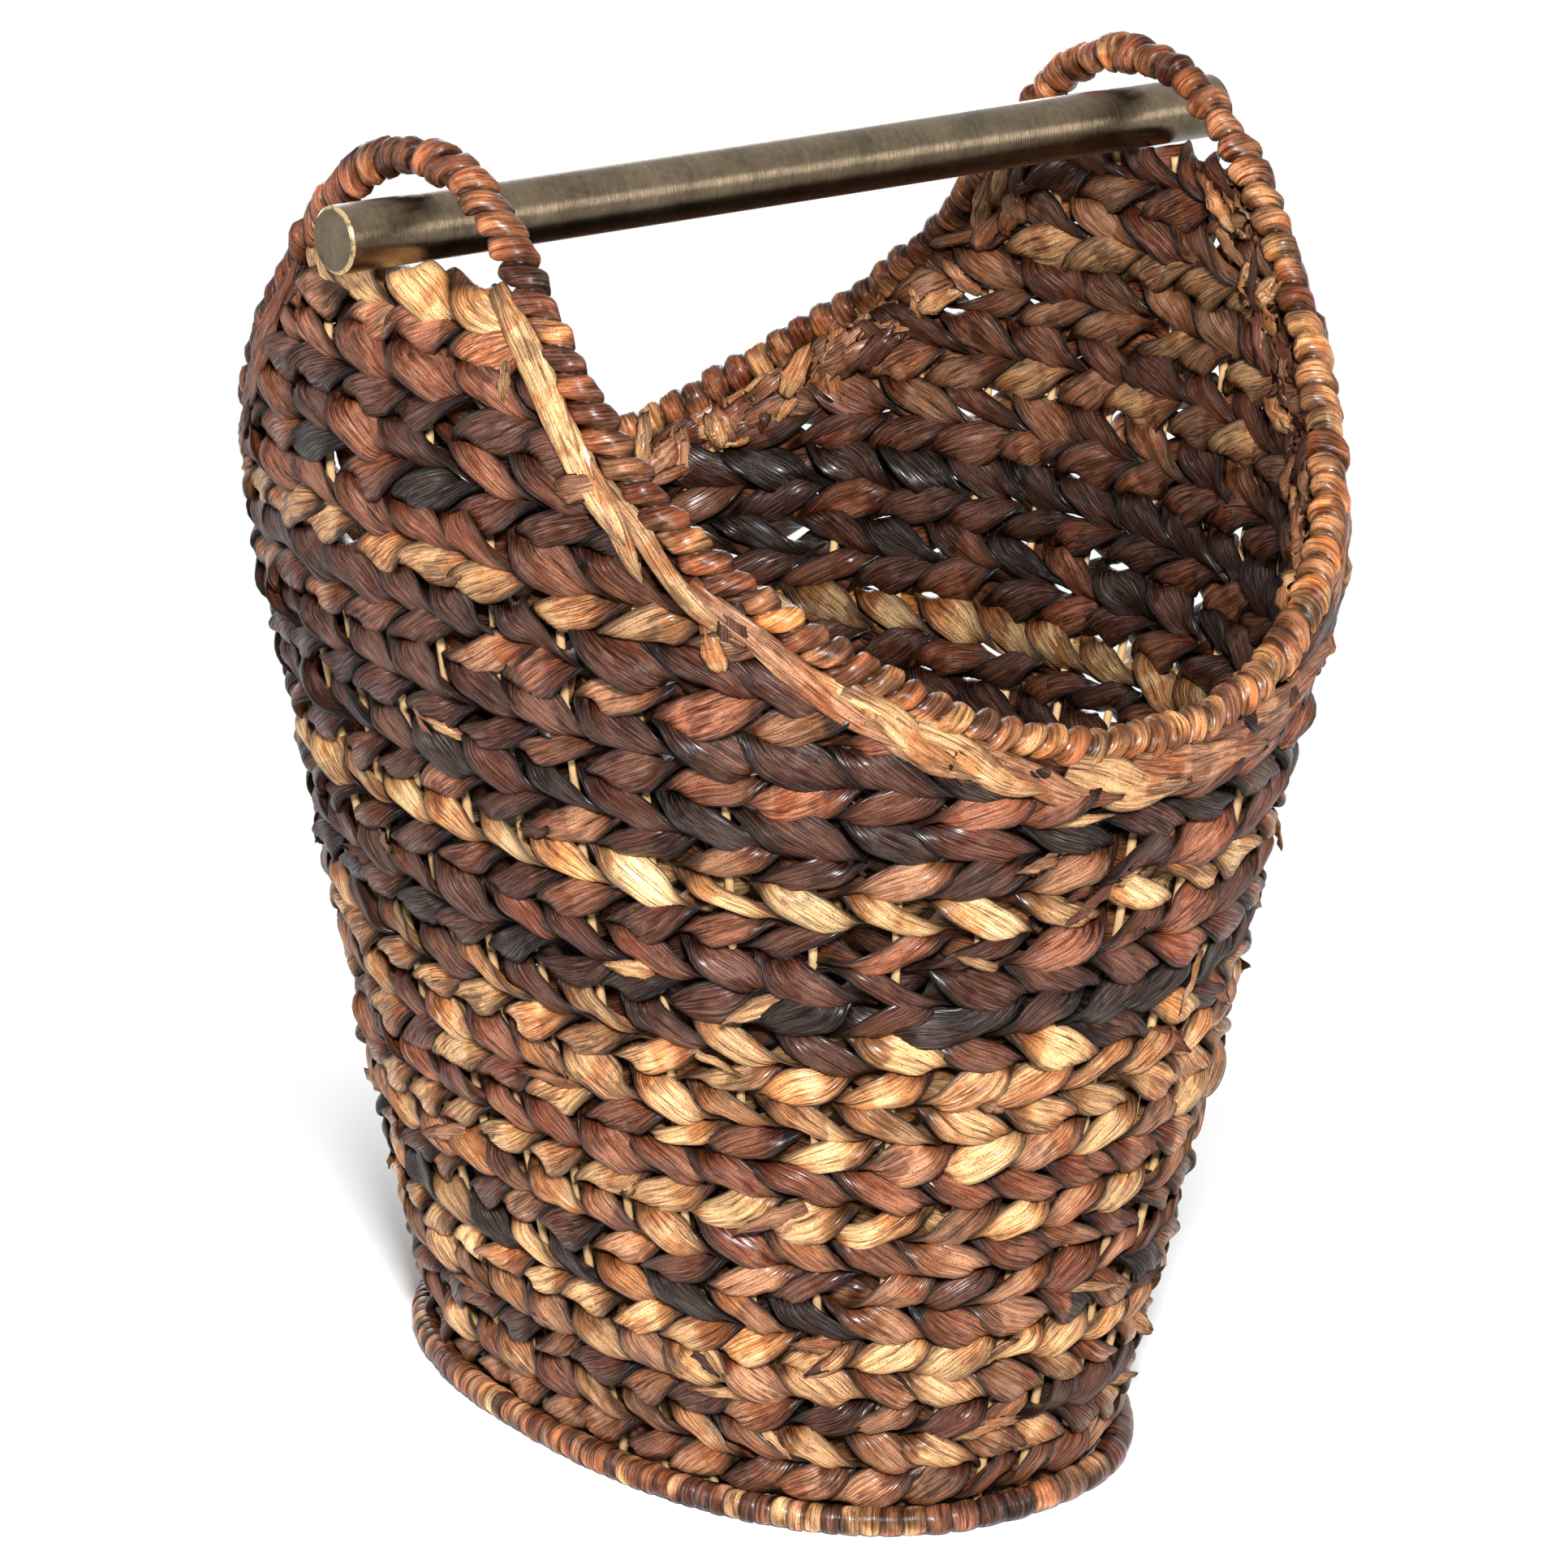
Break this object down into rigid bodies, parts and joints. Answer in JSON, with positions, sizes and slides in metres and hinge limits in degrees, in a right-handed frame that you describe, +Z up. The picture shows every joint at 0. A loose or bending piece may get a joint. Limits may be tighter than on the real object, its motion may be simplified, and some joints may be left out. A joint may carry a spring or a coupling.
{
  "type": "toilet paper basket",
  "caption": "Oval woven leaf basket with a bound saddle-shaped rim, two ear loops and a metal bar that slides through the loops to carry toilet rolls.",
  "frame": {"origin": "on the floor under the middle of the basket", "axes": "+X along the roll bar, +Y from the front to the back, +Z up"},
  "size_m": [0.38, 0.3754, 0.4646],
  "materials": {
    "leaf_strand": "satin",
    "bound_leaf": "satin",
    "leaf_mat": "satin",
    "reed": "matte",
    "aged_brass": "aged, fine turned lines"
  },
  "bodies": {
    "basket": {"rim_core": "reed", "rim_binding": "bound_leaf", "base_ring": "bound_leaf", "base_mat": "leaf_mat", "weave_row_01": "leaf_strand", "weave_row_02": "leaf_strand", "weave_row_03": "leaf_strand", "weave_row_04": "leaf_strand", "weave_row_05": "leaf_strand", "weave_row_06": "leaf_strand", "weave_row_07": "leaf_strand", "weave_row_08": "leaf_strand", "weave_row_09": "leaf_strand", "weave_row_10": "leaf_strand", "weave_row_11": "leaf_strand", "weave_row_12": "leaf_strand", "weave_row_13": "leaf_strand", "weave_row_14": "leaf_strand", "weave_row_15": "leaf_strand", "weave_row_16": "leaf_strand", "weave_row_17": "leaf_strand", "weave_row_18": "leaf_strand", "weave_row_19": "leaf_strand", "weave_row_20": "leaf_strand", "weave_row_21": "leaf_strand", "right_ear_weave": "leaf_strand", "left_ear_weave": "leaf_strand", "stake_pair_01": "reed", "stake_pair_02": "reed", "stake_pair_03": "reed", "stake_pair_04": "reed", "stake_pair_05": "reed", "stake_pair_06": "reed", "stake_pair_07": "reed", "stake_pair_08": "reed", "stake_pair_09": "reed", "stake_pair_10": "reed", "stake_pair_11": "reed", "stake_pair_12": "reed", "stake_pair_13": "reed", "stake_pair_14": "reed", "stake_pair_15": "reed", "stake_pair_16": "reed", "stake_pair_17": "reed", "stake_pair_18": "reed", "stake_pair_19": "reed"},
    "bar": {"roll_bar": "aged_brass"}
  },
  "joints": [
    {"name": "bar_slide", "type": "slide", "parent": "basket", "child": "bar", "axis": [1, 0, 0], "range_m": [-0.33, 0.33]}
  ]
}
